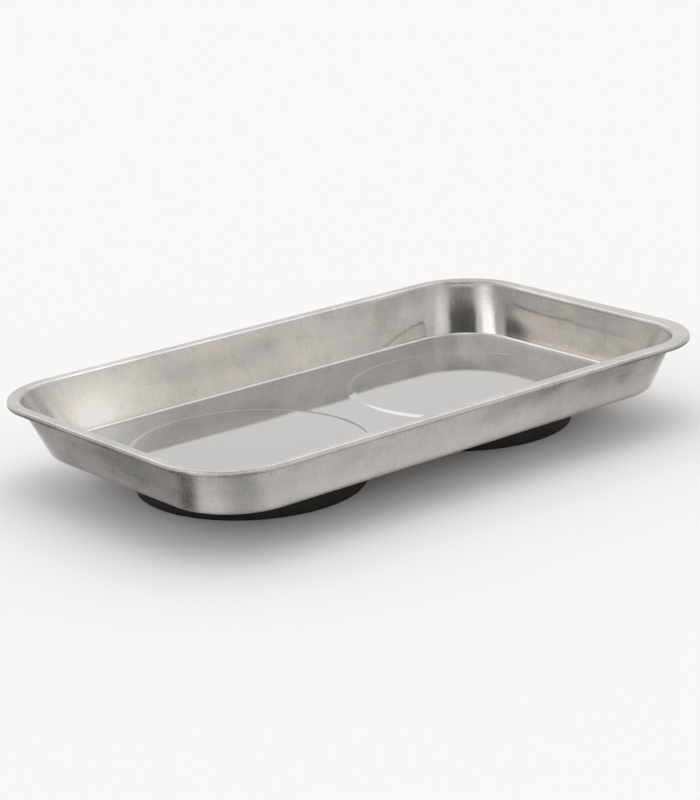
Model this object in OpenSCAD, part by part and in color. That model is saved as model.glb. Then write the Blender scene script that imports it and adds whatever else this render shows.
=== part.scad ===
// Magnetic parts tray: a pressed stainless tray on two rubber-booted magnet feet.
// Millimetres, +Z up, +X along the tray. The origin lies on the surface that the
// feet stand on, below the middle of the tray.

/* [Tray] */
// Length over the rim
tray_l = 240; // [225:1:320]
// Width over the rim
tray_w = 140; // [124:1:200]
// Height from the underside of the floor to the top of the rim
tray_h = 20.5; // [14:0.5:35]
// Corner radius of the rim, seen from above
corner_r = 28; // [22:0.5:45]
// Thickness of the sheet
sheet_t = 0.6; // [0.4:0.1:1]
// Lean of the walls from upright, in degrees
wall_angle = 19; // [10:1:30]
// Inside radius of the bend between the floor and the walls
floor_bend_r = 2.4; // [1:0.1:4]

/* [Rim] */
// Width of the flat of the rim
rim_flat_w = 2.1; // [2:0.1:6]
// Inside radius of the bend between the walls and the rim
shoulder_bend_r = 1.4; // [0.6:0.1:3]
// Inside radius of the bend into the turned-down lip
lip_bend_r = 0.4; // [0.2:0.1:1]
// Straight drop of the lip below its bend
lip_drop = 1; // [0.1:0.1:3]

/* [Raised discs] */
// Height of a raised disc above the floor
disc_h = 0.6; // [0.4:0.1:1.2]
// Inside radius of the two bends round a disc
disc_bend_r = 1.5; // [0.8:0.1:4]

/* [Magnets] */
// Distance between the middles of the two feet
foot_spacing = 103; // [90:1:118]
// Outside diameter of a ring magnet
magnet_d = 80; // [60:1:84]
// Bore of a ring magnet
magnet_bore_d = 32; // [28:1:45]
// Thickness of a ring magnet
magnet_t = 10; // [8:0.5:15]
// Chamfer on the edges of a ring magnet
magnet_edge = 0.8; // [0.2:0.1:1.5]
// Thickness of a pole plate
plate_t = 1.3; // [0.9:0.1:3]

/* [Boots] */
// Thickness of a boot's outer wall
boot_wall_t = 1.5; // [1:0.1:4]
// Thickness of rubber under a magnet
boot_floor_t = 2; // [1:0.1:4]
// Radius round the bottom edge of a boot
boot_edge_r = 0.8; // [0.2:0.1:1]
// Chamfer round the top edge of a boot
boot_top_edge = 0.4; // [0.1:0.1:0.8]
// Gap between a magnet and the boot, outside and in the bore
magnet_clear = 0.1; // [0.05:0.05:0.4]
// Gap between a washer and the well that it sits in
well_clear = 1.5; // [0.5:0.1:4]

/* [Fasteners] */
// Thread diameter of a weld stud
stud_d = 5; // [4:0.5:6]
// Diameter of a weld stud's flange
stud_flange_d = 6.5; // [6.5:0.1:9]
// Thickness of a weld stud's flange
stud_flange_t = 0.8; // [0.5:0.1:0.9]
// Length of a stud's tip past its nut
stud_proud = 0.8; // [0.5:0.1:2]
// Height of a stud's tip above the surface that the tray stands on
tip_lift = 2; // [0.5:0.1:2.5]
// Gap round a stud in the plate, the boot and the washer
stud_clear = 0.2; // [0.1:0.05:0.5]
// Gap between a stud's thread and its nut
thread_clear = 0.05; // [0.02:0.01:0.1]
// Outside diameter of a washer
washer_d = 15; // [12:0.5:20]
// Thickness of a washer
washer_t = 1.2; // [0.8:0.1:2]
// Width of a nut across its flats
nut_flats = 8; // [7.5:0.5:10]
// Height of a nut's hexagon
nut_hex_h = 3.8; // [3:0.1:5]
// Height of the round collar that holds the locking ring
nut_collar_h = 1.2; // [1:0.1:2]
// Wall of the round collar
nut_collar_t = 0.3; // [0.2:0.05:0.4]
// Thickness of a locking ring
ring_t = 0.9; // [0.6:0.1:0.9]

/* [Hidden] */
// Facets of the curves and steps of a bend
$fn = 96;
bend_steps = 6;
// Reach of a cut past the face that it opens
cut_over = 0.5;
// Chamfer of a nut's corners, in degrees, and the share of its flats that its round faces span
nut_chamfer_angle = 30;
nut_face_share = 0.95;

// Feet, from the standing surface up: boot floor, magnet, pole plate, raised disc
magnet_z = boot_floor_t;
plate_z = magnet_z + magnet_t;
recess_z = plate_z + plate_t;
floor_z = recess_z - disc_h;
foot_x = foot_spacing / 2;
magnet_r = magnet_d / 2;
boot_cavity_r = magnet_r + magnet_clear;
boot_r = boot_cavity_r + boot_wall_t;
hub_r = magnet_bore_d / 2 - magnet_clear;

// Fasteners, from the stud's tip up: tip, nut, washer, roof of the well
nut_z = tip_lift + stud_proud;
hex_z = nut_z + nut_collar_h;
washer_z = hex_z + nut_hex_h;
well_z = washer_z + washer_t;
well_r = washer_d / 2 + well_clear;
stud_hole_r = stud_d / 2 + stud_clear;
thread_r = stud_d / 2 + thread_clear;
hex_corner_r = nut_flats / 2 / cos(30);
collar_r = nut_flats / 2 - nut_collar_t;
ring_r = collar_r - nut_collar_t;
crimp_r = (ring_r + thread_r) / 2;
ring_z = hex_z - ring_t;

// Tray, across a wall: radii are measured from the axis of the rim's corners
rim_z = floor_z + tray_h;
lip_out_r = lip_bend_r + sheet_t;
shoulder_out_r = shoulder_bend_r + sheet_t;
floor_out_r = floor_bend_r + sheet_t;
lip_centre = [corner_r - lip_out_r, rim_z - lip_out_r];
shoulder_centre = [lip_centre.x - rim_flat_w, rim_z - shoulder_out_r];
bend_drop = (shoulder_out_r + floor_bend_r) * sin(wall_angle);
wall_drop = tray_h - shoulder_out_r - floor_out_r + bend_drop;
wall_reach = (shoulder_out_r + floor_bend_r) * cos(wall_angle) + wall_drop * tan(wall_angle);
floor_centre = [shoulder_centre.x - wall_reach, floor_z + floor_out_r];
corner_x = tray_l / 2 - corner_r;
corner_y = tray_w / 2 - corner_r;

// Raised disc: two equal bends, one after the other, lift the sheet by disc_h. They start above
// the chamfer of the boot.
disc_mid_r = disc_bend_r + sheet_t / 2;
disc_ramp_angle = acos(1 - disc_h / disc_mid_r / 2);
disc_top_r = boot_r - boot_top_edge;
disc_foot_r = disc_top_r + 2 * disc_mid_r * sin(disc_ramp_angle);
disc_top_centre = [disc_top_r, recess_z + sheet_t / 2 - disc_mid_r];
disc_foot_centre = [disc_foot_r, floor_z + sheet_t / 2 + disc_mid_r];

LEFT = -1;
RIGHT = 1;

// Points along an arc, from one angle to another
function arc(centre, r, from, to) = [
    for (i = [0:bend_steps])
        let (a = from + (to - from) * i / bend_steps)
        centre + r * [cos(a), sin(a)]
];

// Places its children at one foot
module at_foot(side) {
    translate([side * foot_x, 0, 0]) children();
}

// Places its children at both feet
module at_feet() {
    for (side = [LEFT, RIGHT]) at_foot(side) children();
}

// A flat ring, with its bore, standing on z
module ring(r, bore_r, z, h) {
    translate([0, 0, z]) difference() {
        cylinder(r = r, h = h);
        translate([0, 0, -cut_over]) cylinder(r = bore_r, h = h + 2 * cut_over);
    }
}

// Section of the floor's edge, the wall, the rim and its lip
module wall_section() {
    lip_z = lip_centre.y - lip_drop;
    upper_skin = concat(
        [[corner_r, lip_z]],
        arc(lip_centre, lip_out_r, 0, 90),
        arc(shoulder_centre, shoulder_out_r, 90, 180 - wall_angle),
        arc(floor_centre, floor_bend_r, -wall_angle, -90),
        [[0, floor_z + sheet_t]]
    );
    lower_skin = concat(
        [[0, floor_z]],
        arc(floor_centre, floor_out_r, -90, -wall_angle),
        arc(shoulder_centre, shoulder_bend_r, 180 - wall_angle, 90),
        arc(lip_centre, lip_bend_r, 90, 0),
        [[corner_r - sheet_t, lip_z]]
    );
    polygon(concat(upper_skin, lower_skin));
}

// The pressing before its discs are raised: four sides, four corners and the middle
module plain_pressing() {
    for (turn = [0, 90, 180, 270]) {
        along = turn % 180 == 0 ? [corner_x, corner_y] : [corner_y, corner_x];
        rotate(turn) translate([along.x, 0, 0]) {
            rotate([90, 0, 0]) linear_extrude(height = 2 * along.y, center = true) wall_section();
            translate([0, along.y, 0]) rotate_extrude(angle = 90) wall_section();
        }
    }
    translate([-corner_x, -corner_y, floor_z]) cube([2 * corner_x, 2 * corner_y, sheet_t]);
}

// One raised disc, out to the flat of the floor round it
module raised_disc() {
    upper_skin = concat(
        [[0, recess_z + sheet_t]],
        arc(disc_top_centre, disc_bend_r + sheet_t, 90, 90 - disc_ramp_angle),
        arc(disc_foot_centre, disc_bend_r, 270 - disc_ramp_angle, 270)
    );
    lower_skin = concat(
        arc(disc_foot_centre, disc_bend_r + sheet_t, 270, 270 - disc_ramp_angle),
        arc(disc_top_centre, disc_bend_r, 90 - disc_ramp_angle, 90),
        [[0, recess_z]]
    );
    rotate_extrude() polygon(concat(upper_skin, lower_skin));
}

// Pressed stainless tray
module tray() {
    color("silver") {
        difference() {
            plain_pressing();
            at_feet() translate([0, 0, floor_z - cut_over])
                cylinder(r = disc_foot_r, h = sheet_t + 2 * cut_over);
        }
        at_feet() raised_disc();
    }
}

// Rubber boot: a cup round the magnet, with a hub in its bore and a well for the nut
module boot() {
    edge_centre = [boot_r - boot_edge_r, boot_edge_r];
    color([0.12, 0.12, 0.11]) rotate_extrude() polygon(concat(
        [[well_r, 0]],
        arc(edge_centre, boot_edge_r, -90, 0),
        [[boot_r, recess_z - boot_top_edge]],
        [[boot_r - boot_top_edge, recess_z]],
        [[boot_cavity_r, recess_z]],
        [[boot_cavity_r, magnet_z]],
        [[hub_r, magnet_z]],
        [[hub_r, plate_z]],
        [[stud_hole_r, plate_z]],
        [[stud_hole_r, well_z]],
        [[well_r, well_z]]
    ));
}

module left_boot() {
    at_foot(LEFT) boot();
}

module right_boot() {
    at_foot(RIGHT) boot();
}

// Ferrite ring magnet
module magnet() {
    bore_r = magnet_bore_d / 2;
    top_z = plate_z;
    color([0.25, 0.25, 0.27]) rotate_extrude() polygon([
        [bore_r + magnet_edge, magnet_z],
        [magnet_r - magnet_edge, magnet_z],
        [magnet_r, magnet_z + magnet_edge],
        [magnet_r, top_z - magnet_edge],
        [magnet_r - magnet_edge, top_z],
        [bore_r + magnet_edge, top_z],
        [bore_r, top_z - magnet_edge],
        [bore_r, magnet_z + magnet_edge]
    ]);
}

module left_magnet() {
    at_foot(LEFT) magnet();
}

module right_magnet() {
    at_foot(RIGHT) magnet();
}

// Steel pole plate between the magnet and the tray
module pole_plate() {
    color("slategray") ring(magnet_r, stud_flange_d / 2 + stud_clear, plate_z, plate_t);
}

module left_pole_plate() {
    at_foot(LEFT) pole_plate();
}

module right_pole_plate() {
    at_foot(RIGHT) pole_plate();
}

// Studs welded under the raised discs, each with its flange and a chamfered tip
module weld_studs() {
    stud_r = stud_d / 2;
    tip_edge = stud_proud / 2;
    color("gainsboro") at_feet() rotate_extrude() polygon([
        [0, tip_lift],
        [stud_r - tip_edge, tip_lift],
        [stud_r, tip_lift + tip_edge],
        [stud_r, recess_z - stud_flange_t],
        [stud_flange_d / 2, recess_z - stud_flange_t],
        [stud_flange_d / 2, recess_z],
        [0, recess_z]
    ]);
}

// Washers under the roofs of the wells
module washers() {
    color("lightgray") at_feet() ring(washer_d / 2, stud_hole_r, washer_z, washer_t);
}

// Lock nut: a chamfered hexagon, and below it a collar that is crimped over the locking ring
module lock_nut() {
    face_r = nut_face_share * nut_flats / 2;
    far_r = face_r + nut_hex_h / tan(nut_chamfer_angle);
    difference() {
        union() {
            translate([0, 0, hex_z]) intersection() {
                cylinder(r = hex_corner_r, h = nut_hex_h, $fn = 6);
                cylinder(r1 = face_r, r2 = far_r, h = nut_hex_h);
                cylinder(r1 = far_r, r2 = face_r, h = nut_hex_h);
            }
            translate([0, 0, nut_z]) cylinder(r = collar_r, h = nut_collar_h);
        }
        translate([0, 0, nut_z - cut_over]) cylinder(r = crimp_r, h = ring_z - nut_z + cut_over);
        translate([0, 0, ring_z]) cylinder(r = ring_r, h = ring_t);
        translate([0, 0, ring_z]) cylinder(r = thread_r, h = ring_t + nut_hex_h + cut_over);
    }
}

module lock_nuts() {
    color("gainsboro") at_feet() lock_nut();
}

// Plastic locking rings, held in the collars of the nuts
module lock_rings() {
    color("white") at_feet() ring(ring_r, thread_r, ring_z, ring_t);
}

tray();
left_boot();
right_boot();
left_magnet();
right_magnet();
left_pole_plate();
right_pole_plate();
weld_studs();
washers();
lock_nuts();
lock_rings();
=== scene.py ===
"""Magnetic parts tray: a pressed stainless tray on two rubber-booted magnet feet, in a plain studio.

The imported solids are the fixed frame. The tray, its boots and its studs get finer meshes, worked out as
numpy grids, and every other solid keeps its own shape and gets a finish. All lengths are in metres.
"""

import logging
import math
from dataclasses import dataclass, field
from enum import Enum
from functools import cache

import bmesh
import bpy
import numpy as np
from mathutils import Matrix, Vector


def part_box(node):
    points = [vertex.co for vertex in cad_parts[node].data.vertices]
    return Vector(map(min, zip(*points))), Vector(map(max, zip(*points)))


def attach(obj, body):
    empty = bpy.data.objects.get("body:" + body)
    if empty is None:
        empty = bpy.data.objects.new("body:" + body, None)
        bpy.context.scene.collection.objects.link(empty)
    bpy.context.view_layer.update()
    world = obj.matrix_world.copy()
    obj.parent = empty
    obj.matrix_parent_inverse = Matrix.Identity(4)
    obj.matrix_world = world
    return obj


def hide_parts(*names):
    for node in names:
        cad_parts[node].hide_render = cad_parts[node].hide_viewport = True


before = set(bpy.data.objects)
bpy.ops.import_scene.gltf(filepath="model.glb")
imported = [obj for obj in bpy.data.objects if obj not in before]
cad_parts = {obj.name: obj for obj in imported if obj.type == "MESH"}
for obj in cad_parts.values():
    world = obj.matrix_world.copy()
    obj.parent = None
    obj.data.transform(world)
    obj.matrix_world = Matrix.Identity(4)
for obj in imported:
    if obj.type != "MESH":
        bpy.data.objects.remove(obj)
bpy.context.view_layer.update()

MM = 0.001
BODY = "root"
SHEET_UV = "sheet"
STRETCH = "stretch"
# The mesh attribute of painted light and shade.
PAINTED_TONE = "tone"
WALL_STRETCH = 0.4
WELD_DISTANCE = 1e-6
PICTURE_W, PICTURE_H = 700, 800
SENSOR_W = 36.0

Array = np.ndarray
Material = bpy.types.Material
Piece = bpy.types.Object
Socket = bpy.types.NodeSocket
Span = tuple[float, float]
Triple = tuple[float, float, float]
Colour = Triple
WHOLE: Span = (0.0, 1.0)
NOISE_SPAN: Span = (0.3, 0.7)
log = logging.getLogger("parts_tray")


class Side(Enum):
    """The two feet, by the sign of their place along X."""

    LEFT = -1
    RIGHT = 1

    @property
    def word(self) -> str:
        """The side's name, as the nodes have it."""
        return self.name.lower()


class Skin(Enum):
    """The two faces of the pressed sheet."""

    UPPER = 1
    LOWER = -1


class Wall(Enum):
    """The four walls, in the order in which the rim's path meets them."""

    FRONT = 0
    RIGHT = 1
    REAR = 2
    LEFT = 3


def arc(centre: Span, radius: float, start: float, end: float, steps: int) -> Array:
    """Points on a circle: the centre plus the radius times the cosine and sine of evenly spaced angles.

    Args:
        centre: the circle's middle, as distance from the axis and height.
        radius: the circle's radius.
        start: the first angle, in degrees.
        end: the last angle, in degrees.
        steps: the number of stretches between points.

    Returns:
        The points, shaped (steps + 1, 2).
    """
    angles = np.radians(np.linspace(start, end, steps + 1))
    return np.stack([centre[0] + radius * np.cos(angles), centre[1] + radius * np.sin(angles)], axis=-1)


def turned(radii: Array, heights: Array, centre_x: float, turns: int) -> Array:
    """Turns a section about an upright axis: distance times the cosine and sine of evenly spaced angles.

    Args:
        radii: distances from the axis, shaped (rows, 1) or (rows, turns + 1).
        heights: the rows' heights, shaped (rows, 1).
        centre_x: where the axis stands along X.
        turns: the number of stretches round the axis.

    Returns:
        The grid, shaped (rows, turns + 1, 3).
    """
    angles = np.linspace(0, 2 * math.pi, turns + 1)
    x = centre_x + radii * np.cos(angles)
    y = radii * np.sin(angles)
    return np.stack(np.broadcast_arrays(x, y, heights), axis=-1)


def raised(flat: Array, heights: Array) -> Array:
    """Gives places seen from above, shaped (rows, columns, 2), one height for each row."""
    return np.concatenate([flat, np.broadcast_to(heights[:, None, None], (*flat.shape[:2], 1))], axis=-1)


def run_lengths(points: Array) -> Array:
    """Length along a line of points, from its first point: the running sum of the steps between them."""
    steps = np.linalg.norm(np.diff(points, axis=0), axis=-1)
    return np.concatenate([[0.0], np.cumsum(steps)])


def smooth_step(x: Array, low: float, high: float) -> Array:
    """Zero below low and one above high, with 3t squared less 2t cubed between them."""
    t = np.clip((x - low) / (high - low), 0.0, 1.0)
    return t * t * (3.0 - 2.0 * t)


def middle_x(node: str) -> float:
    """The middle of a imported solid's box along X."""
    low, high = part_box(node)
    return (low.x + high.x) / 2


@dataclass
class Patchwork:
    """Grids of points that are sewn into one closed mesh.

    A patch is a grid of rows by columns. Each of its points has a place on the sheet, in metres, a stretch
    from 0, flat sheet, to 1, hardest drawn sheet, and a tone that its colour is multiplied by, which on the
    tray carries painted light and shade. Points that lie on each other are welded, which closes seams and
    poles.
    """

    points: list[Array] = field(default_factory=list)
    places: list[Array] = field(default_factory=list)
    stretches: list[Array] = field(default_factory=list)
    tones: list[Array] = field(default_factory=list)
    quads: list[Array] = field(default_factory=list)
    count: int = 0

    def add(self, grid: Array, places: Array | None = None, stretch: Array | float = 0.0,
            tone: Array | float = 1.0) -> None:
        """Adds one grid.

        Args:
            grid: the points, shaped (rows, columns, 3).
            places: each point's place on the sheet, shaped (rows, columns, 2). Without it, X and Y serve.
            stretch: how far the sheet is drawn, for each point or for all.
            tone: how light the sheet is painted, for each point or for all.
        """
        rows, columns = grid.shape[:2]
        index = np.arange(rows * columns).reshape(rows, columns) + self.count
        corners = [index[:-1, :-1], index[:-1, 1:], index[1:, 1:], index[1:, :-1]]
        self.quads.append(np.stack(corners, axis=-1).reshape(-1, 4))
        self.points.append(grid.reshape(-1, 3))
        self.places.append((grid[..., :2] if places is None else places).reshape(-1, 2))
        self.stretches.append(np.broadcast_to(stretch, (rows, columns)).reshape(-1))
        self.tones.append(np.broadcast_to(tone, (rows, columns)).reshape(-1))
        self.count += rows * columns

    def build(self, name: str) -> Piece:
        """Makes the mesh, welds it and turns its faces outwards.

        Args:
            name: the piece's name.

        Returns:
            The piece, linked to the scene, at the origin.
        """
        quads = np.concatenate(self.quads).astype(np.int32)
        mesh = bpy.data.meshes.new(name)
        mesh.vertices.add(self.count)
        mesh.loops.add(quads.size)
        mesh.polygons.add(len(quads))
        mesh.vertices.foreach_set("co", np.concatenate(self.points).astype(np.float32).ravel())
        mesh.loops.foreach_set("vertex_index", quads.ravel())
        mesh.polygons.foreach_set("loop_start", np.arange(0, quads.size, 4, dtype=np.int32))
        mesh.update(calc_edges=True)
        uv = mesh.uv_layers.new(name=SHEET_UV)
        uv.data.foreach_set("uv", np.concatenate(self.places)[quads.ravel()].astype(np.float32).ravel())
        for key, values in ((STRETCH, self.stretches), (PAINTED_TONE, self.tones)):
            attribute = mesh.attributes.new(key, "FLOAT", "POINT")
            attribute.data.foreach_set("value", np.concatenate(values).astype(np.float32))
        self._weld(mesh)
        mesh.polygons.foreach_set("use_smooth", np.ones(len(mesh.polygons), dtype=bool))
        piece = bpy.data.objects.new(name, mesh)
        bpy.context.scene.collection.objects.link(piece)
        return piece

    @staticmethod
    def _weld(mesh: bpy.types.Mesh) -> None:
        """Welds points that lie on each other and makes the faces point outwards.

        Args:
            mesh: the mesh, which is changed in place.
        """
        work = bmesh.new()
        work.from_mesh(mesh)
        bmesh.ops.remove_doubles(work, verts=work.verts, dist=WELD_DISTANCE)
        bmesh.ops.recalc_face_normals(work, faces=work.faces)
        work.to_mesh(mesh)
        work.free()
        mesh.update()


@dataclass(frozen=True)
class Noise:
    """Soft noise: about how wide its lumps are, how many finer layers it has, and how strong those are."""

    size: float
    detail: float = 2.0
    rough: float = 0.5


class Nodes:
    """A node tree, with short calls that add nodes and join them.

    A mix node has sockets for each kind of value under the same names, so its colours go by number.
    """

    MIX_COLOURS = (6, 7)
    MIX_RESULT = 2

    def __init__(self, tree: bpy.types.NodeTree) -> None:
        """Starts from an empty tree."""
        self.tree = tree
        tree.nodes.clear()

    def add(self, kind: str, inputs: dict | None = None, **settings: object) -> bpy.types.Node:
        """Adds a node.

        Args:
            kind: the node's type, such as ShaderNodeMath.
            inputs: a value, or the output of another node, for each input by its name or number.
            settings: the node's own settings.

        Returns:
            The new node.
        """
        node = self.tree.nodes.new(kind)
        for key, value in settings.items():
            setattr(node, key, value)
        for key, value in (inputs or {}).items():
            if isinstance(value, Socket):
                self.tree.links.new(value, node.inputs[key])
            else:
                node.inputs[key].default_value = value
        return node

    def place(self) -> Socket:
        """Each point's own place on the piece, in metres."""
        return self.add("ShaderNodeTexCoord").outputs["Object"]

    def stored(self, name: str) -> Socket:
        """What the mesh stores for each point under a name."""
        return self.add("ShaderNodeAttribute", attribute_name=name).outputs["Fac"]

    def math(self, operation: str, a: object, b: object = 0.0) -> Socket:
        """One sum of two values, given by number or by socket; returns its output."""
        return self.add("ShaderNodeMath", {0: a, 1: b}, operation=operation).outputs[0]

    def spread(self, value: object, span: Span, to: Span = WHOLE) -> Socket:
        """Maps a value from one span to another along a smooth step, held inside it.

        Args:
            value: the socket to map.
            span: the values that become the two ends of the other span.
            to: the results at those values.

        Returns:
            The mapped value.
        """
        inputs = {"Value": value}
        inputs["From Min"], inputs["From Max"] = span
        inputs["To Min"], inputs["To Max"] = to
        return self.add("ShaderNodeMapRange", inputs, interpolation_type="SMOOTHSTEP").outputs["Result"]

    def noise(self, vector: object, kind: Noise) -> Socket:
        """Soft noise, read at a place; returns its value from 0 to 1."""
        inputs = {"Vector": vector, "Scale": 1.0 / kind.size, "Detail": kind.detail, "Roughness": kind.rough}
        return self.add("ShaderNodeTexNoise", inputs).outputs[0]

    def stretched(self, vector: object, scale: Triple) -> Socket:
        """Scales a place along its three axes, so that a pattern read there runs along one of them."""
        return self.add("ShaderNodeMapping", {"Vector": vector, "Scale": scale}).outputs[0]

    def blend(self, share: object, a: object, b: object) -> Socket:
        """Mixes two colours.

        Args:
            share: 0 gives the first colour and 1 the second.
            a: the first colour, or the socket that gives it.
            b: the second colour, or the socket that gives it.

        Returns:
            The mixed colour.
        """
        inputs = {"Factor": share}
        for number, colour in zip(self.MIX_COLOURS, (a, b)):
            inputs[number] = colour if isinstance(colour, Socket) else (*colour, 1.0)
        return self.add("ShaderNodeMix", inputs, data_type="RGBA").outputs[self.MIX_RESULT]

    def bump(self, height: object, relief: Span) -> Socket:
        """Small relief, by its strength from 0 to 1 and its depth in metres."""
        inputs = {"Height": height, "Strength": relief[0], "Distance": relief[1]}
        return self.add("ShaderNodeBump", inputs).outputs[0]

    def surface(self, inputs: dict) -> None:
        """Ends the tree with one glossy-and-matte surface, set by inputs."""
        shader = self.add("ShaderNodeBsdfPrincipled", inputs)
        self.add("ShaderNodeOutputMaterial", {"Surface": shader.outputs[0]})


def new_material(name: str) -> tuple[Material, Nodes]:
    """Makes a material with an empty node tree.

    Args:
        name: the material's name.

    Returns:
        The material and its nodes.
    """
    material = bpy.data.materials.new(name)
    material.use_nodes = True
    return material, Nodes(material.node_tree)


@dataclass(frozen=True)
class SatinStainless:
    """Cold-drawn stainless sheet: a bright floor, cloudy walls, and corners that drawing turned satin."""

    floor_colour: Colour = (0.600, 0.598, 0.590)
    cool: Colour = (0.632, 0.616, 0.592)
    warm: Colour = (0.660, 0.622, 0.592)
    floor_rough: float = 0.05
    wall_rough: float = 0.065
    corner_rough: float = 0.28
    wall_stretch: float = WALL_STRETCH
    cloud_noise: Noise = Noise(30 * MM, 4.0, 0.6)
    smear_noise: Noise = Noise(13 * MM, 6.0, 0.68)
    streak_noise: Noise = Noise(0.4 * MM)
    grain_noise: Noise = Noise(0.5 * MM, rough=0.6)
    smear_run: Triple = (0.45, 1.0, 1.0)
    streak_run: Triple = (1.0, 0.05, 1.0)
    cloud_span: Span = (0.36, 0.64)
    smear_span: Span = (0.46, 0.66)
    dull_span: Span = (0.5, 0.7)
    fine_span: Span = (0.2, 0.8)
    tone_span: Span = (0.5, 1.0)
    cloud_shade: Span = (-0.07, 0.07)
    smear_shade: Span = (0.16, 0.12)
    streak_shade: Span = (-0.06, 0.06)
    grain_shade: Span = (-0.10, 0.10)
    smear_mottle: Span = (0.0, 0.06)
    streak_mottle: Span = (-0.02, 0.02)
    relief: Span = (0.10, 0.01 * MM)

    def material(self) -> Material:
        """Clouds tint the drawn sheet, smears dull it, streaks run down it, and stretch makes it satin.

        Returns:
            The tray's material.
        """
        material, n = new_material("satin_stainless")
        place, stretch, tone = n.place(), n.stored(STRETCH), n.stored(PAINTED_TONE)
        sheet = n.add("ShaderNodeUVMap", uv_map=SHEET_UV).outputs[0]
        drawn = n.spread(stretch, (0.0, self.wall_stretch))
        corner = n.spread(stretch, (self.wall_stretch, 1.0))
        clouds = n.noise(place, self.cloud_noise)
        smears = n.noise(n.stretched(sheet, self.smear_run), self.smear_noise)
        streaks = n.noise(n.stretched(sheet, self.streak_run), self.streak_noise)
        grain = n.noise(place, self.grain_noise)
        patina = n.blend(n.spread(clouds, self.cloud_span), self.cool, self.warm)
        colour = n.blend(drawn, self.floor_colour, patina)
        shade = n.math("ADD", n.spread(grain, self.fine_span, self.grain_shade),
                       n.spread(streaks, self.fine_span, self.streak_shade))
        shade = n.math("ADD", shade, n.spread(clouds, NOISE_SPAN, self.cloud_shade))
        # The stored tone is painted light and shade: smears run a little deeper where it is painted darker,
        # and it scales the colour.
        smear_depth = n.spread(tone, self.tone_span, self.smear_shade)
        shade = n.math("SUBTRACT", shade, n.math("MULTIPLY", n.spread(smears, self.smear_span), smear_depth))
        shade = n.math("ADD", tone, n.math("MULTIPLY", shade, drawn))
        colour = n.add("ShaderNodeVectorMath", {0: colour, "Scale": shade}, operation="SCALE").outputs[0]
        satin = n.math("ADD", n.spread(drawn, WHOLE, (self.floor_rough, self.wall_rough)),
                       n.spread(corner, WHOLE, (0.0, self.corner_rough - self.wall_rough)))
        mottle = n.math("ADD", n.spread(smears, self.dull_span, self.smear_mottle),
                        n.spread(streaks, NOISE_SPAN, self.streak_mottle))
        relief = n.math("MULTIPLY", n.math("ADD", grain, streaks), corner)
        n.surface({
            "Base Color": colour,
            "Metallic": 1.0,
            "Roughness": n.math("ADD", satin, n.math("MULTIPLY", mottle, drawn)),
            "Normal": n.bump(relief, self.relief),
        })
        return material


class Pattern(Enum):
    """The patterns of a grained finish."""

    CLOUDS = 0
    GRAIN = 1


@dataclass(frozen=True)
class GrainedFinish:
    """A colour with clouds of another, and a fine grain in its relief.

    Gloss tells which pattern makes it rougher and smoother. The grain's place is multiplied by grain_run,
    so a small share draws the grain out along that axis.
    """

    name: str
    colour: Colour
    clouds: Colour
    rough: Span
    cloud_noise: Noise
    grain_noise: Noise
    relief: Span
    cloud_span: Span = (0.35, 0.65)
    grain_run: Triple = (1.0, 1.0, 1.0)
    gloss: Pattern = Pattern.GRAIN
    metallic: float = 1.0
    specular: float = 0.5

    def material(self) -> Material:
        """Mixes the colours by the clouds, and sets roughness and relief by the patterns.

        Returns:
            The material.
        """
        material, n = new_material(self.name)
        place = n.place()
        clouds = n.noise(place, self.cloud_noise)
        grain = n.noise(n.stretched(place, self.grain_run), self.grain_noise)
        gloss = clouds if self.gloss is Pattern.CLOUDS else grain
        n.surface({
            "Base Color": n.blend(n.spread(clouds, self.cloud_span), self.colour, self.clouds),
            "Metallic": self.metallic,
            "Roughness": n.spread(gloss, NOISE_SPAN, self.rough),
            "Specular IOR Level": self.specular,
            "Normal": n.bump(grain, self.relief),
        })
        return material


@dataclass(frozen=True)
class MouldedRubber(GrainedFinish):
    """Black moulded rubber with a fine eggshell grain, dulled by a grey bloom."""

    name: str = "moulded_rubber"
    colour: Colour = (0.005, 0.005, 0.0045)
    clouds: Colour = (0.011, 0.011, 0.010)
    rough: Span = (0.46, 0.60)
    cloud_noise: Noise = Noise(14 * MM, 5.0, 0.6)
    grain_noise: Noise = Noise(0.35 * MM, 1.5)
    relief: Span = (0.35, 0.05 * MM)
    cloud_span: Span = (0.4, 0.7)
    gloss: Pattern = Pattern.CLOUDS
    metallic: float = 0.0
    specular: float = 0.4


@dataclass(frozen=True)
class SinteredFerrite(GrainedFinish):
    """Dark grey ceramic magnet, pressed, sintered and ground, with small pits."""

    name: str = "sintered_ferrite"
    colour: Colour = (0.045, 0.045, 0.050)
    clouds: Colour = (0.085, 0.085, 0.090)
    rough: Span = (0.55, 0.75)
    cloud_noise: Noise = Noise(9 * MM, 4.0)
    grain_noise: Noise = Noise(0.5 * MM, 3.0, 0.7)
    relief: Span = (0.4, 0.08 * MM)
    metallic: float = 0.0


@dataclass(frozen=True)
class RolledSteel(GrainedFinish):
    """Mild steel plate with the lines of the rolling mill along X, and dull clouds of oil stain."""

    name: str = "rolled_steel"
    colour: Colour = (0.50, 0.50, 0.51)
    clouds: Colour = (0.38, 0.375, 0.37)
    rough: Span = (0.30, 0.48)
    cloud_noise: Noise = Noise(12 * MM, 4.0)
    grain_noise: Noise = Noise(0.4 * MM)
    relief: Span = (0.3, 0.02 * MM)
    cloud_span: Span = (0.4, 0.65)
    grain_run: Triple = (0.03, 1.0, 1.0)


@dataclass(frozen=True)
class BrightZinc(GrainedFinish):
    """Bright zinc plating with a fine grain, whose cast drifts between blue and straw."""

    name: str = "bright_zinc"
    colour: Colour = (0.66, 0.69, 0.72)
    clouds: Colour = (0.72, 0.70, 0.64)
    rough: Span = (0.20, 0.34)
    cloud_noise: Noise = Noise(4 * MM)
    grain_noise: Noise = Noise(0.25 * MM)
    relief: Span = (0.2, 0.02 * MM)


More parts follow.
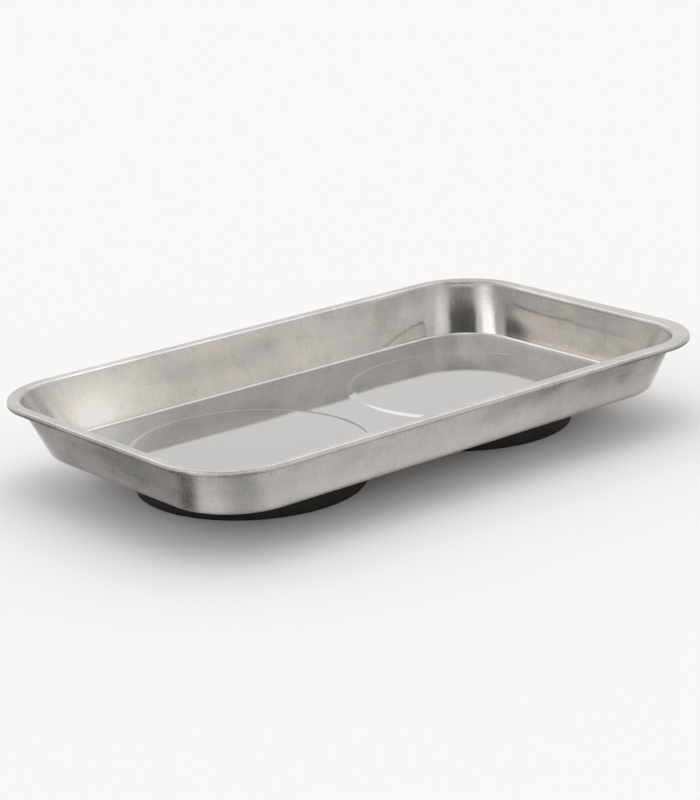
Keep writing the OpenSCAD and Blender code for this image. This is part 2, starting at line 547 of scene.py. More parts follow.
@dataclass(frozen=True)
class NaturalNylon:
    """Milky white nylon of the locking rings."""

    clear: Colour = (0.80, 0.79, 0.74)
    milky: Colour = (0.86, 0.86, 0.83)
    rough: Span = (0.38, 0.50)
    cloud_noise: Noise = Noise(1.5 * MM, 3.0)
    cloud_span: Span = (0.35, 0.65)
    depth: float = 0.15
    depth_reach: Triple = (0.6 * MM, 0.6 * MM, 0.5 * MM)

    def material(self) -> Material:
        """Milky clouds, and a soft moulded sheen.

        Returns:
            The locking rings' material.
        """
        material, n = new_material("natural_nylon")
        cloud = n.noise(n.place(), self.cloud_noise)
        n.surface({
            "Base Color": n.blend(n.spread(cloud, self.cloud_span), self.clear, self.milky),
            "Roughness": n.spread(cloud, NOISE_SPAN, self.rough),
            "Subsurface Weight": self.depth,
            "Subsurface Radius": self.depth_reach,
        })
        return material


@dataclass(frozen=True)
class PalePaper:
    """The studio floor's plain sheet, which is clear from below so that the feet can be seen."""

    tone: Colour = (0.97, 0.97, 0.97)

    def material(self) -> Material:
        """A matte sheet in front, and nothing behind.

        Returns:
            The floor's material.
        """
        material, n = new_material("pale_floor")
        paper = n.add("ShaderNodeBsdfDiffuse", {"Color": (*self.tone, 1.0)})
        clear = n.add("ShaderNodeBsdfTransparent")
        below = n.add("ShaderNodeNewGeometry").outputs["Backfacing"]
        mixed = n.add("ShaderNodeMixShader", {0: below, 1: paper.outputs[0], 2: clear.outputs[0]})
        n.add("ShaderNodeOutputMaterial", {"Surface": mixed.outputs[0]})
        return material


Finish = SatinStainless | GrainedFinish | NaturalNylon | PalePaper


@cache
def shared_material(finish: Finish) -> Material:
    """A finish's material, made once for all the pieces that have it."""
    return finish.material()


def dress(piece: Piece, finish: Finish) -> None:
    """Gives every face of a piece one finish."""
    piece.data.materials.clear()
    piece.data.materials.append(shared_material(finish))


def dress_solid(node: str, finish: Finish) -> None:
    """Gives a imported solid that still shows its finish."""
    dress(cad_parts[node], finish)
    log.info("%s: packed solid, %s", node, shared_material(finish).name)


def place_piece(piece: Piece, slot: str, *nodes: str) -> None:
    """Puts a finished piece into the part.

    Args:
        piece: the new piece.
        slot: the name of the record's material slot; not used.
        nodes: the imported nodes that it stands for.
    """
    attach(piece, BODY)
    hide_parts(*nodes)
    log.info("%s: %d faces, stands for %s", piece.name, len(piece.data.polygons), ", ".join(nodes))


@dataclass(frozen=True)
class PaintedLightMark:
    """A lighter or darker patch on a wall, which paints shade, highlights and reflections into its colour.

    Its station runs from 0 at the front wall's left end to 8, with a whole number at each end of every wall
    and corner. Its height is a share of the wall's, from the floor up, and one plus its gain multiplies the
    tone in its middle. Its ends fade over a share of its half length on both sides of it.
    """

    skin: Skin
    station: float
    height: float
    half_length: float
    half_height: float
    gain: float
    fade: float = 1.0


@dataclass(frozen=True)
class RimPath:
    """The rounded rectangle that the tray's section is carried along.

    Axis points and outward normals are shaped (points, 2). Each point has a station, as PaintedLightMark tells it,
    and a share of the corner's drawing, which is 1 in the corners and fades along the walls.
    """

    axes: Array
    normals: Array
    stations: Array
    corners: Array


@dataclass
class PressedTray:
    """The tray: one sheet, drawn into a rounded rectangle with leaning walls, a flat rim and a lip.

    Radii across a wall are measured from the axis of the rim's corners, so the same section serves sides and
    corners. Below the rim the corners grow wider, by corner_ease at the floor, as the sheet is drawn less
    sharply there. The shoulder lies a little further in at some places and the wall swells out at others:
    shoulder_insets and wall_swells pair stations, as PaintedLightMark tells them, with how far. A swell grows from
    swell_foot to swell_height, both shares of the tray's own height. The floor's bend is sharper inside,
    floor_bend_r, than outside, under_bend_r.
    """

    corner_r: float = 28 * MM
    sheet_t: float = 0.6 * MM
    wall_angle: float = 19.0
    floor_bend_r: float = 1.0 * MM
    under_bend_r: float = 3.0 * MM
    shoulder_bend_r: float = 1.4 * MM
    lip_bend_r: float = 0.4 * MM
    lip_drop: float = 1 * MM
    rim_flat_w: float = 2.1 * MM
    corner_ease: float = 9 * MM
    shoulder_insets: tuple[Span, ...] = (
        (0, 0.0), (1, 1.6 * MM), (2, 2.6 * MM), (2.5, 2.1 * MM), (3, 0.7 * MM), (4, 0.1 * MM), (8, 0.0),
    )
    wall_swells: tuple[Span, ...] = (
        (3, 0.0), (3.8, 0.40 * MM), (4.07, 0.40 * MM), (4.15, 0.0), (8, 0.0),
    )
    swell_foot: float = 0.34
    swell_height: float = 0.68
    corner_fade: float = 9 * MM
    wall_stretch: float = WALL_STRETCH
    rim_stretch: float = 0.8
    under_bend_stretch: float = 0.6
    under_stretch: float = 0.5
    disc_bend_r: float = 4.6 * MM
    disc_inset: float = 0.4 * MM
    disc_crown: float = 0.12 * MM
    # Painted highlight on the discs' bends.
    disc_highlight: float = 0.12
    disc_rings: tuple[float, ...] = (0.998, 0.99, 0.96, 0.9, 0.82, 0.72, 0.6, 0.46, 0.3, 0.14, 0.0)
    # Painted shade under the rim, on the lip's cut edge.
    lip_shade: float = 0.45
    corner_steps: int = 40
    long_steps: int = 96
    short_steps: int = 44
    seam_steps: int = 56
    bend_steps: int = 8
    wall_rows: int = 14
    rim_rows: int = 6
    floor_rows: int = 5
    floor_support: float = 0.2 * MM
    # Painted shade, painted highlights and painted reflections, on both skins of the walls.
    painted_light_marks: tuple[PaintedLightMark, ...] = (
        PaintedLightMark(Skin.UPPER, 4.93, 0.35, 22 * MM, 0.7, 0.5),
        PaintedLightMark(Skin.UPPER, 4.97, 0.1, 12 * MM, 0.4, 0.25),
        PaintedLightMark(Skin.UPPER, 4.95, 0.0, 26 * MM, 0.07, -0.45),
        PaintedLightMark(Skin.UPPER, 5.25, 0.5, 7 * MM, 2.0, -0.2),
        PaintedLightMark(Skin.UPPER, 2.55, 0.06, 40 * MM, 0.06, 0.30, 0.4),
        PaintedLightMark(Skin.UPPER, 4.60, 0.58, 20 * MM, 0.22, -0.14),
        PaintedLightMark(Skin.UPPER, 4.47, 0.66, 7 * MM, 0.14, -0.12, 0.6),
        PaintedLightMark(Skin.UPPER, 4.05, 0.6, 16 * MM, 1.0, -0.06),
        PaintedLightMark(Skin.UPPER, 3.65, 0.92, 15 * MM, 0.25, -0.22, 0.9),
        PaintedLightMark(Skin.LOWER, 0.0, 0.15, 1.0, 0.25, 0.34, 0.1),
        PaintedLightMark(Skin.LOWER, 0.0, 0.90, 1.0, 0.24, -0.18, 0.1),
        PaintedLightMark(Skin.LOWER, 0.64, 0.74, 15 * MM, 0.2, -0.32, 0.7),
        PaintedLightMark(Skin.LOWER, 0.87, 0.70, 15 * MM, 0.25, -0.26, 0.7),
        PaintedLightMark(Skin.LOWER, 6.35, 0.75, 61 * MM, 1.3, -0.58, 0.08),
        PaintedLightMark(Skin.LOWER, 7.165, 0.35, 2.6 * MM, 0.6, -0.62, 0.8),
        PaintedLightMark(Skin.LOWER, 7.39, 0.4, 3 * MM, 0.8, 0.16, 0.8),
        PaintedLightMark(Skin.LOWER, 7.68, 0.6, 4.2 * MM, 0.9, -0.30, 0.85),
        PaintedLightMark(Skin.LOWER, 2.0, 0.6, 75 * MM, 3.0, -0.42, 0.93),
    )

    def __post_init__(self) -> None:
        """Works out the section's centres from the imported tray's box and the feet."""
        low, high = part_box("tray")
        boot_low, boot_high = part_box("right_boot")
        self.axis_x = high.x - self.corner_r
        self.axis_y = high.y - self.corner_r
        self.floor_z = low.z
        self.rim_z = high.z
        self.disc_z = boot_high.z
        self.foot_x = middle_x("right_boot")
        self.disc_top_r = (boot_high.x - boot_low.x) / 2 - self.disc_inset
        lean = math.radians(self.wall_angle)
        lip_out_r = self.lip_bend_r + self.sheet_t
        shoulder_out_r = self.shoulder_bend_r + self.sheet_t
        floor_out_r = self.floor_bend_r + self.sheet_t
        self.lip_centre = (self.corner_r - lip_out_r, self.rim_z - lip_out_r)
        self.shoulder_centre = (self.lip_centre[0] - self.rim_flat_w, self.rim_z - shoulder_out_r)
        bends = shoulder_out_r + self.floor_bend_r
        drop = self.rim_z - self.floor_z - shoulder_out_r - floor_out_r + bends * math.sin(lean)
        reach = bends * math.cos(lean) + drop * math.tan(lean)
        self.floor_centre = (self.shoulder_centre[0] - reach, self.floor_z + floor_out_r)
        squeeze = self.under_bend_r - floor_out_r
        under_shift = squeeze * math.tan((math.pi / 2 - lean) / 2)
        self.under_centre = (self.floor_centre[0] - under_shift, self.floor_z + self.under_bend_r)
        self.path = self._path()

    def fit(self) -> None:
        """Builds the tray, dresses it and puts it into the part."""
        tray = self.build()
        dress(tray, SatinStainless())
        place_piece(tray, "stainless", "tray")

    def build(self) -> Piece:
        """Sews the wall, its rim and both skins of the floor into one closed sheet.

        Returns:
            The tray's piece.
        """
        work = Patchwork()
        self._add_wall(work)
        for side in Side:
            for skin in Skin:
                self._add_floor(work, side, skin)
        return work.build("pressed_tray")

    def _path(self) -> RimPath:
        """Lays the path anticlockwise from the front wall's left end and back to it.

        Each wall is a straight run of axis points with one outward normal. Each corner is one axis point,
        about which the normal turns evenly through a quarter turn. The corner's share falls along a wall as
        a bell of the distance from its nearer end.

        Returns:
            The path.
        """
        axes, normals, stations, corners = [], [], [], []
        turns = np.linspace(0, 1, self.corner_steps + 1)[:-1]
        for wall in Wall:
            turn = math.radians(-90 + 90 * wall.value)
            out = np.array([math.cos(turn), math.sin(turn)])
            ahead = np.array([-out[1], out[0]])
            along_x = wall in (Wall.FRONT, Wall.REAR)
            half = self.axis_x if along_x else self.axis_y
            off = self.axis_y if along_x else self.axis_x
            steps = self.long_steps if along_x else self.short_steps
            run = np.linspace(-half, half, steps + 1)[:-1]
            angles = turn + turns * math.pi / 2
            corner = np.broadcast_to(off * out + half * ahead, (len(turns), 2))
            axes += [off * out + run[:, None] * ahead, corner]
            fan = np.stack([np.cos(angles), np.sin(angles)], axis=-1)
            normals += [np.broadcast_to(out, (steps, 2)), fan]
            stations += [2 * wall.value + (run + half) / (2 * half), 2 * wall.value + 1 + turns]
            corners += [np.exp(-((half - np.abs(run)) / self.corner_fade) ** 2), np.ones_like(turns)]
        starts = [axes[0][:1], normals[0][:1], [2.0 * len(Wall)], corners[0][:1]]
        runs = (axes, normals, stations, corners)
        return RimPath(*(np.concatenate([*run, start]) for run, start in zip(runs, starts)))

    def _section(self) -> tuple[Array, Array]:
        """The sheet's section, from the floor's upper skin over the wall and rim to the floor's lower skin.

        It is a chain of arcs and straight runs, each tangent to the next. The lip ends in a half-round raw
        edge, and the press has squeezed the sheet thinner in the floor's bend, where the outside is rounder
        than the inside. Each arc comes with the rows of the straight run before it and the stretch at both
        its ends.

        Returns:
            Points as distance from the axis and height, and each point's stretch.
        """
        t, steps, lean, rim = self.sheet_t, self.bend_steps, self.wall_angle, self.rim_stretch
        shoulder_r, lip_r = self.shoulder_bend_r, self.lip_bend_r
        edge_centre = (self.corner_r - t / 2, self.lip_centre[1] - self.lip_drop + t / 2)
        arcs = [
            (0, arc(self.floor_centre, self.floor_bend_r, -90, -lean, steps), 0.0, 1.0),
            (self.wall_rows, arc(self.shoulder_centre, shoulder_r + t, 180 - lean, 90, steps), 1.0, rim),
            (self.rim_rows, arc(self.lip_centre, lip_r + t, 90, 0, steps), rim, 1.0),
            (0, arc(edge_centre, t / 2, 0, -180, steps), 1.0, 1.0),
            (0, arc(self.lip_centre, lip_r, 0, 90, steps // 2), 1.0, 1.0),
            (0, arc(self.shoulder_centre, shoulder_r, 90, 180 - lean, steps), 1.0, 1.0),
            (self.wall_rows, arc(self.under_centre, self.under_bend_r, -lean, -90, steps),
             1.0, self.under_bend_stretch),
        ]
        points, stretch = [], []
        for rows, bend, first, last in arcs:
            if rows:
                share = self._eased(rows)[:, None]
                points.append((1 - share) * points[-1][-1] + share * bend[0])
                stretch.append(np.full(rows, first))
            points.append(bend)
            stretch.append(np.linspace(first, last, len(bend)))
        section, stretches = np.concatenate(points), np.concatenate(stretch)
        apart = np.linalg.norm(np.diff(section, axis=0), axis=-1) > WELD_DISTANCE
        keep = np.concatenate([[True], apart])
        return section[keep], stretches[keep]

    @staticmethod
    def _eased(rows: int) -> Array:
        """Shares between 0 and 1, without the ends, that crowd towards both: half of one less a cosine."""
        return 0.5 - 0.5 * np.cos(math.pi * np.linspace(0, 1, rows + 2)[1:-1])

    def _up(self, heights: Array) -> Array:
        """Heights as shares of the tray's own, from the floor up."""
        return (heights - self.floor_z) / (self.rim_z - self.floor_z)

    def _around(self, radii: Array, heights: Array) -> Array:
        """Carries points of the section along the path: axis point plus distance times normal.

        Below the shoulder the axis moves inwards along X and Y by the ease and the distance grows by it, so
        that the walls stay where they are and the corners widen. The ease grows evenly from the shoulder to
        the floor. The shoulder's inset is taken off the distance: all of it at the shoulder, fading to the
        floor and to the lip. The swell is added to it: none of it below its foot, all of it above its
        height, fading to the lip.

        Args:
            radii: the points' distances from the axis.
            heights: the points' heights.

        Returns:
            Places seen from above, shaped (section points, path points, 2).
        """
        insets, swells = (np.interp(self.path.stations, *np.transpose(pairs))
                          for pairs in (self.shoulder_insets, self.wall_swells))
        top, (lip_r, _) = self.shoulder_centre[1], self.lip_centre
        up = self._up(heights)
        across = (lip_r - radii) / (lip_r - self.shoulder_centre[0])
        share = np.clip(np.minimum(up, across), 0.0, 1.0)
        grown = (up - self.swell_foot) / (self.swell_height - self.swell_foot)
        swollen = np.clip(np.minimum(grown, across), 0.0, 1.0)
        ease = self.corner_ease * np.clip((top - heights) / (top - self.floor_z), 0.0, 1.0)[:, None, None]
        half = np.array([self.axis_x, self.axis_y])
        distance = (radii[:, None] - share[:, None] * insets + swollen[:, None] * swells)[..., None]
        return self.path.axes * (1 - ease / half) + (distance + ease) * self.path.normals

    def _add_wall(self, work: Patchwork) -> None:
        """Adds the wall, its rim and its lip: the section, carried along the path.

        Args:
            work: the patchwork that takes the grid.
        """
        section, stretch = self._section()
        middle_r = (self.floor_centre[0] + self.shoulder_centre[0]) / 2
        runs = run_lengths(self.path.axes + middle_r * self.path.normals)
        downs = run_lengths(section)
        places = np.stack(np.broadcast_arrays(runs[None], downs[:, None]), axis=-1)
        up = np.clip(self._up(section[:, 1:]), 0.0, 1.0)
        drawn = stretch[:, None] * (self.wall_stretch + (1 - self.wall_stretch) * self.path.corners * up)
        grid = raised(self._around(*section.T), section[:, 1])
        work.add(grid, places, drawn, self._painted_tone(section, runs))

    def _painted_tone(self, section: Array, runs: Array) -> Array:
        """Painted light and shade: the product, over the marks, of one plus a mark's gain times its share.

        A mark's share is a smooth step along the wall times a bell up the wall. The lip's cut edge is
        painted darker, as painted shade under the rim, deepest at its lowest point.

        Args:
            section: the section's points, upper skin first.
            runs: length along the path for each of its points.

        Returns:
            The tone, shaped (section points, path points).
        """
        heights = self._up(section[:, 1])
        upper = np.arange(len(section)) < section[:, 0].argmax()
        whole = runs[-1]
        # Painted shade on the lip's cut edge, darkest at its lowest.
        below = np.clip((self.lip_centre[1] - section[:, 1]) / self.lip_drop, 0.0, 1.0)
        edge = 1 - self.lip_shade * below * (section[:, 0] > self.lip_centre[0])
        tone = np.repeat(edge[:, None], len(runs), axis=1)
        for mark in self.painted_light_marks:
            middle = np.interp(mark.station, self.path.stations, runs)
            apart = (runs - middle + whole / 2) % whole - whole / 2
            skin = upper if mark.skin is Skin.UPPER else ~upper
            bell = np.exp(-((heights - mark.height) / mark.half_height) ** 2) * skin
            ends = mark.half_length * (1 - mark.fade), mark.half_length * (1 + mark.fade)
            tone *= 1 + mark.gain * bell[:, None] * (1 - smooth_step(np.abs(apart), *ends))
        return tone

    def _floor_edge(self, side: Side, radius: float, height: float) -> Array:
        """The edge of one half of the floor: the foot of its walls, then the line that parts the halves.

        Args:
            side: which half.
            radius: the distance of its walls' foot from the axis.
            height: the height of its skin.

        Returns:
            A closed line of points, shaped (points, 2), with the first point again at the end.
        """
        ring = self._around(np.array([radius]), np.array([height]))[0, :-1]
        front = self.long_steps // 2
        rear = front + len(ring) // 2
        half_y = self.axis_y + radius
        seam_y = np.linspace(-half_y, half_y, self.seam_steps + 1)[1:-1]
        if side is Side.RIGHT:
            edge, seam_y = ring[front:rear + 1], seam_y[::-1]
        else:
            edge = np.concatenate([ring[rear:], ring[:front + 1]])
        seam = np.stack([np.zeros_like(seam_y), seam_y], axis=-1)
        return np.concatenate([edge, seam, edge[:1]])

    def _disc(self, skin: Skin) -> tuple[Array, Array]:
        """The section of a raised disc: two bends that lift it, then rings that shrink under a low crown.

        The crown is disc_crown times the square of one less the squared share of the radius. The bends get a
        painted highlight, by a half wave over them.

        Args:
            skin: which face of the sheet.

        Returns:
            Points as distance from the disc's middle and height, and each point's painted highlight from 0
            to 1.
        """
        t, steps = self.sheet_t, self.bend_steps
        mid_r = self.disc_bend_r + t / 2
        ramp = math.degrees(math.acos(1 - (self.disc_z - self.floor_z) / mid_r / 2))
        foot_r = self.disc_top_r + 2 * mid_r * math.sin(math.radians(ramp))
        foot_centre = (foot_r, self.floor_z + t / 2 + mid_r)
        top_centre = (self.disc_top_r, self.disc_z + t / 2 - mid_r)
        foot_bend, top_bend = (0, t) if skin is Skin.UPPER else (t, 0)
        rise = np.concatenate([
            arc(foot_centre, self.disc_bend_r + foot_bend, 270, 270 - ramp, steps),
            arc(top_centre, self.disc_bend_r + top_bend, 90 - ramp, 90, steps)[1:],
        ])
        shares = np.array(self.disc_rings)
        crown = self.disc_crown * (1 - shares ** 2) ** 2
        rings = np.stack([self.disc_top_r * shares, rise[-1, 1] + crown], axis=-1)
        highlight = np.sin(np.linspace(0, math.pi, len(rise)))
        return np.concatenate([rise, rings]), np.concatenate([highlight, np.zeros(len(rings))])

    def _add_floor(self, work: Patchwork, side: Side, skin: Skin) -> None:
        """One skin of one half of the floor: straight lines from its edge to the disc's foot, then the disc.

        Args:
            work: the patchwork that takes the grid.
            side: which half of the floor.
            skin: which face of the sheet.
        """
        upper = skin is Skin.UPPER
        disc, highlight = self._disc(skin)
        foot_r, floor_z = disc[0]
        edge = self._floor_edge(side, (self.floor_centre if upper else self.under_centre)[0], floor_z)
        centre = np.array([side.value * self.foot_x, 0.0])
        out = edge - centre
        length = np.linalg.norm(out, axis=-1, keepdims=True)
        shares = np.linspace(1, 0, self.floor_rows)[:, None]
        reach = np.concatenate([
            length.T,
            foot_r + self.floor_support + shares * (length.T - foot_r - 2 * self.floor_support),
            np.broadcast_to(disc[:, :1], (len(disc), len(edge))),
        ])
        flat_rows = len(reach) - len(disc)
        heights = np.concatenate([np.full(flat_rows, floor_z), disc[:, 1]])
        # Painted highlight on the disc's bends.
        tone = 1 + self.disc_highlight * np.concatenate([np.zeros(flat_rows), highlight])[:, None]
        grid = raised(centre + reach[..., None] * (out / length), heights)
        work.add(grid, stretch=0.0 if upper else self.under_stretch, tone=tone)


@dataclass
class MagnetFoot:
    """One foot: a rubber boot round a ring magnet and its pole plate."""

    side: Side
    floor_t: float = 2 * MM
    edge_r: float = 0.8 * MM
    top_edge: float = 0.4 * MM
    mouth_r: float = 0.5 * MM
    wall_t: float = 1.5 * MM
    well_r: float = 9 * MM
    well_h: float = 9 * MM
    hub_clear: float = 0.1 * MM
    hole_r: float = 2.7 * MM
    crisp_gap: float = 0.08 * MM
    crisp_run: float = 1 * MM
    turns: int = 128
    bend_steps: int = 6

    def fit(self) -> None:
        """Builds the boot, dresses the foot's pieces and puts the boot into the part."""
        boot = self.build()
        dress(boot, MouldedRubber())
        place_piece(boot, "boot_rubber", self._node("boot"))
        dress_solid(self._node("magnet"), SinteredFerrite())
        dress_solid(self._node("pole_plate"), RolledSteel())

    def build(self) -> Piece:
        """Turns the boot's section round the foot's axis.

        Returns:
            The boot's piece.
        """
        low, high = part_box(self._node("boot"))
        plate_low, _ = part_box(self._node("pole_plate"))
        section = self._section((high.x - low.x) / 2, high.z, plate_low.z)
        work = Patchwork()
        work.add(turned(section[:, :1], section[:, 1:], middle_x(self._node("boot")), self.turns))
        return work.build(self._node("rubber_boot"))

    def _node(self, piece: str) -> str:
        """The name of one of this foot's pieces."""
        return f"{self.side.word}_{piece}"

    def _section(self, radius: float, top: float, hub_top: float) -> Array:
        """The boot's closed section: cup, cavity, hub, stud hole and well, with rounded edges in view.

        Args:
            radius: the boot's outer radius.
            top: the height of its upper edge.
            hub_top: the height of the hub inside the magnet.

        Returns:
            Points as distance from the axis and height.
        """
        cavity_r = radius - self.wall_t
        bore_r = self._bore_r() - self.hub_clear
        steps = self.bend_steps
        corners = [
            arc((self.well_r + self.mouth_r, self.mouth_r), self.mouth_r, 180, 270, steps),
            arc((radius - self.edge_r, self.edge_r), self.edge_r, -90, 0, steps),
            arc((radius - self.top_edge, top - self.top_edge), self.top_edge, 0, 90, steps),
            np.array([[cavity_r, top], [cavity_r, self.floor_t], [bore_r, self.floor_t], [bore_r, hub_top]]),
            np.array([[self.hole_r, hub_top], [self.hole_r, self.well_h], [self.well_r, self.well_h]]),
        ]
        return self._crisp(np.concatenate([*corners, corners[0][:1]]))

    def _bore_r(self) -> float:
        """The magnet's bore radius: the shortest distance of its vertices from its axis.

        Returns:
            The radius.
        """
        name = self._node("magnet")
        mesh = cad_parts[name].data
        co = np.empty(len(mesh.vertices) * 3)
        mesh.vertices.foreach_get("co", co)
        co = co.reshape(-1, 3)
        return float(np.hypot(co[:, 0] - middle_x(name), co[:, 1]).min())

    def _crisp(self, section: Array) -> Array:
        """Adds a point close to each end of every long run, so that smooth shading stays at its edges.

        Args:
            section: the section's points.

        Returns:
            The section with the points added.
        """
        starts, ends = section[:-1], section[1:]
        length = np.linalg.norm(ends - starts, axis=-1, keepdims=True)
        gap = self.crisp_gap * (ends - starts) / np.maximum(length, WELD_DISTANCE)
        trio = np.stack([starts, starts + gap, ends - gap], axis=1)
        keep = np.repeat(length > self.crisp_run, 3, axis=1)
        keep[:, 0] = True
        return np.concatenate([trio[keep], section[-1:]])


@dataclass
class FootFasteners:
    """What holds the feet: the welded studs with their threads, the washers, the nuts and their rings."""

    pitch: float = 0.8 * MM
    thread_r: float = 2.5 * MM
    thread_depth: float = 0.46 * MM
    thread_slope: float = 1.35
    thread_flat: float = 0.15
    flange_t: float = 0.8 * MM
    tip_edge: float = 0.4 * MM
    turns: int = 40
    rows_per_pitch: int = 10

    def fit(self) -> None:
        """Builds the studs, dresses all the fasteners and puts the studs into the part."""
        studs = self.build()
        dress(studs, BrightZinc())
        place_piece(studs, "plated_steel", "weld_studs")
        dress_solid("washers", BrightZinc())
        dress_solid("lock_nuts", BrightZinc())
        dress_solid("lock_rings", NaturalNylon())

    def build(self) -> Piece:
        """Cuts a helical thread into both studs.

        The radius is the thread's own less its depth times a wave of the height in pitches less the angle in
        turns. The wave is held flat at crest and root, the thread runs out below the flange, and a chamfer
        takes off the tip's edge.

        Returns:
            One piece with both studs.
        """
        low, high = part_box("weld_studs")
        flange_r = (high.y - low.y) / 2
        neck_z = high.z - self.flange_t
        rows = int((neck_z - low.z) / self.pitch * self.rows_per_pitch)
        heights = np.linspace(low.z, neck_z, rows + 1)[:, None]
        phase = (heights / self.pitch - np.linspace(0, 1, self.turns + 1)) % 1.0
        wave = np.clip(self.thread_slope * np.abs(2 * phase - 1) - self.thread_flat, 0.0, 1.0)
        run_out = 1 - smooth_step(heights, neck_z - 2 * self.pitch, neck_z - self.pitch)
        radius = self.thread_r - self.thread_depth * wave * run_out
        radius = np.minimum(radius, self.thread_r - self.tip_edge + (heights - low.z))
        tip = np.array([[0.0, low.z]])
        flange = np.array([[flange_r, neck_z], [flange_r, high.z], [0.0, high.z]])
        tip_r, flange_rs = (np.repeat(end[:, :1], self.turns + 1, axis=1) for end in (tip, flange))
        radii = np.concatenate([tip_r, radius, flange_rs])
        heights = np.concatenate([tip[:, 1:], heights, flange[:, 1:]])
        work = Patchwork()
        for side in Side:
            work.add(turned(radii, heights, middle_x(f"{side.word}_boot"), self.turns))
        return work.build("threaded_studs")


class Tint(Enum):
    """The colours of the studio's soft light."""

    WHITE = (1.0, 1.0, 1.0)
    CREAM = (1.0, 0.975, 0.95)
    PEACH = (1.0, 0.97, 0.95)
    ROSE = (1.0, 0.96, 0.94)


@dataclass(frozen=True)
class SoftLight:
    """A soft patch of the studio round the tray, by the direction that it is seen in.

    Angles are in degrees. Within the inner angle from its middle the patch has its own level of light, and
    from there it fades to nothing at the outer angle.
    """

    azimuth: float
    elevation: float
    inner: float
    outer: float
    level: float
    tint: Tint = Tint.WHITE

    @property
    def direction(self) -> Triple:
        """Unit vector towards the patch, with azimuth anticlockwise from +X."""
        a, e = math.radians(self.azimuth), math.radians(self.elevation)
        return math.cos(a) * math.cos(e), math.sin(a) * math.cos(e), math.sin(e)

    @property
    def edges(self) -> Span:
        """Cosines of the outer and the inner angle."""
        return math.cos(math.radians(self.outer)), math.cos(math.radians(self.inner))

    @property
    def colour(self) -> Colour:
        """The patch's light."""
        return tuple(self.level * part for part in self.tint.value)


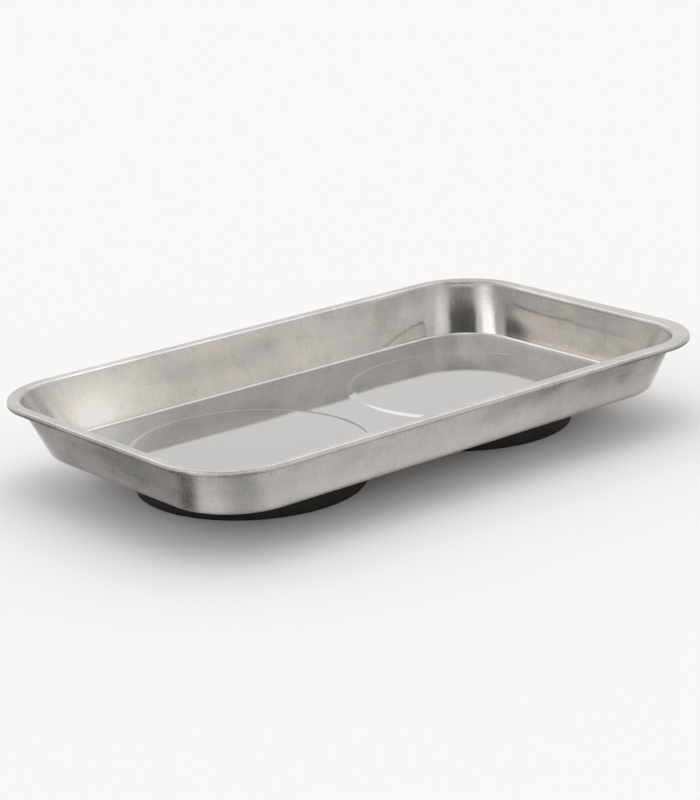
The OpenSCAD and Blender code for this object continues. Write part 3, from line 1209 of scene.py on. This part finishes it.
@dataclass
class Studio:
    """A pale floor, soft light from all round and the camera."""

    floor_size: float = 6.0
    level: float = 0.82
    lights: tuple[SoftLight, ...] = (
        SoftLight(0, 90, 6, 12, 1.40),
        SoftLight(-80, 69, 5, 13, 0.70),
        SoftLight(8, 52, 9, 18, 1.45),
        SoftLight(-55, 18, 18, 34, 0.77, Tint.CREAM),
        SoftLight(-43, 10, 4, 9, 0.58, Tint.CREAM),
        SoftLight(-146, 27, 6, 13, 1.12),
        SoftLight(-120, 27, 5, 10, 1.2),
        SoftLight(48, 14, 14, 26, 0.86),
        SoftLight(-32, 47, 8, 17, 0.74),
        SoftLight(150, 18, 8, 16, 0.56, Tint.PEACH),
        SoftLight(132, 10, 12, 24, 0.49, Tint.ROSE),
        SoftLight(136, 1, 3, 9, 0.6, Tint.PEACH),
        SoftLight(175, 31, 5, 15, 1.55),
        SoftLight(-85, 31, 3, 12, 1.04),
        SoftLight(28, 45, 7, 15, 1.2),
        SoftLight(55, 44, 8, 16, 1.22),
        SoftLight(82, 42, 10, 20, 1.3),
        SoftLight(-12, 11, 8, 18, 0.5),
        SoftLight(-150, 44, 6, 13, 0.12),
        SoftLight(-132, 44, 7, 13, 0.10),
        SoftLight(-114, 44, 4, 14, 0.12),
    )
    lamp_strength: float = 0.34
    lamp_spread: float = 50.0
    azimuth: float = -39.65
    elevation: float = 17.1
    roll: float = -2.25
    distance: float = 898.67 * MM
    focal_pixels: float = 2466.3
    target: Triple = (-9.28 * MM, -5.98 * MM, 22.2 * MM)
    nearest: float = 0.01
    farthest: float = 50.0

    def build(self) -> None:
        """Sets up the floor, the light and the camera."""
        self._floor()
        self._light()
        self._lamp()
        self._camera()
        bpy.context.scene.view_settings.view_transform = "Standard"

    def _floor(self) -> None:
        """A plain pale sheet under the feet, seen only from above."""
        half = self.floor_size / 2
        corners = [(-half, -half, 0), (half, -half, 0), (half, half, 0), (-half, half, 0)]
        mesh = bpy.data.meshes.new("studio_floor")
        mesh.from_pydata(corners, [], [(0, 1, 2, 3)])
        floor = bpy.data.objects.new("studio_floor", mesh)
        bpy.context.scene.collection.objects.link(floor)
        dress(floor, PalePaper())

    def _light(self) -> None:
        """Even light from all round, with soft patches mixed in by direction."""
        world = bpy.data.worlds.new("studio")
        bpy.context.scene.world = world
        world.use_nodes = True
        n = Nodes(world.node_tree)
        towards = n.add("ShaderNodeTexCoord").outputs["Generated"]
        colour = (self.level,) * 3
        for light in self.lights:
            facing = n.add("ShaderNodeVectorMath", {0: towards, 1: light.direction}, operation="DOT_PRODUCT")
            colour = n.blend(n.spread(facing.outputs["Value"], light.edges), colour, light.colour)
        background = n.add("ShaderNodeBackground", {"Color": colour})
        n.add("ShaderNodeOutputWorld", {"Surface": background.outputs[0]})

    def _lamp(self) -> None:
        """A wide soft lamp overhead, which lights the pale floor but isn't mirrored in the metal."""
        data = bpy.data.lights.new("soft_lamp", "SUN")
        data.energy = self.lamp_strength
        data.angle = math.radians(self.lamp_spread)
        lamp = bpy.data.objects.new("soft_lamp", data)
        lamp.visible_glossy = False
        bpy.context.scene.collection.objects.link(lamp)

    def _camera(self) -> None:
        """The camera, turned about its target by azimuth, elevation and roll."""
        a, e, r = (math.radians(x) for x in (self.azimuth, self.elevation, self.roll))
        back = Vector((math.sin(a) * math.cos(e), -math.cos(a) * math.cos(e), math.sin(e)))
        right = Vector((math.cos(a), math.sin(a), 0.0))
        up = back.cross(right)
        right, up = math.cos(r) * right + math.sin(r) * up, math.cos(r) * up - math.sin(r) * right
        data = bpy.data.cameras.new("studio_camera")
        data.sensor_width = SENSOR_W
        data.lens = self.focal_pixels / max(PICTURE_W, PICTURE_H) * SENSOR_W
        data.clip_start, data.clip_end = self.nearest, self.farthest
        camera = bpy.data.objects.new("studio_camera", data)
        turn = Matrix((right, up, back)).transposed().to_4x4()
        camera.matrix_world = Matrix.Translation(Vector(self.target) + self.distance * back) @ turn
        bpy.context.scene.collection.objects.link(camera)
        bpy.context.scene.camera = camera


def main() -> None:
    """Builds the pieces in order, dresses them and sets up the studio."""
    logging.basicConfig(level=logging.INFO, format="%(name)s: %(message)s")
    PressedTray().fit()
    for side in Side:
        MagnetFoot(side).fit()
    FootFasteners().fit()
    Studio().build()


if __name__ == "__main__":
    main()
